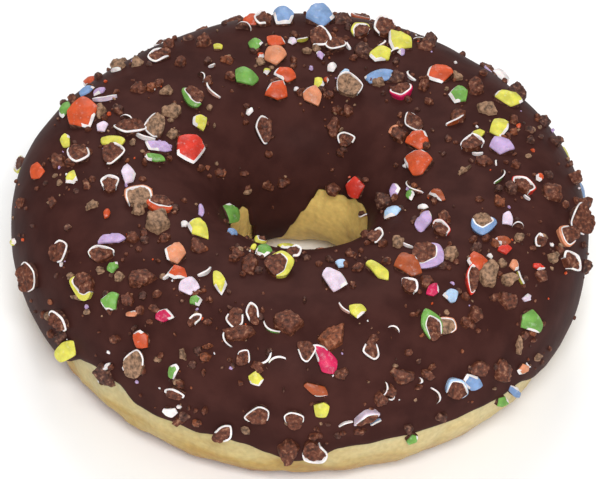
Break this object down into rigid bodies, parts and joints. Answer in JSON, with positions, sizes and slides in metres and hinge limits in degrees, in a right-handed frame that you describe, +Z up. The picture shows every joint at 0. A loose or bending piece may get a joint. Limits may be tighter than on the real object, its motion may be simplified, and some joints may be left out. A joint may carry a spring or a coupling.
{
  "type": "iced ring doughnut",
  "caption": "Ring doughnut with chocolate icing over its top and sides, strewn with broken candy-coated chocolates in mixed colours",
  "frame": {"origin": "centre of the bounding box, on the flat underside that rests on the ground", "axes": "+Z up through the hole, -Y towards the viewer of the picture, +X to the viewer's right"},
  "size_m": [0.0968, 0.1002, 0.0345],
  "materials": {
    "dough": "soft fried dough, pale round the side and golden brown below",
    "icing": "satin dark chocolate icing"
  },
  "bodies": {
    "root": {"dough": "dough", "icing": "icing"}
  },
  "joints": []
}
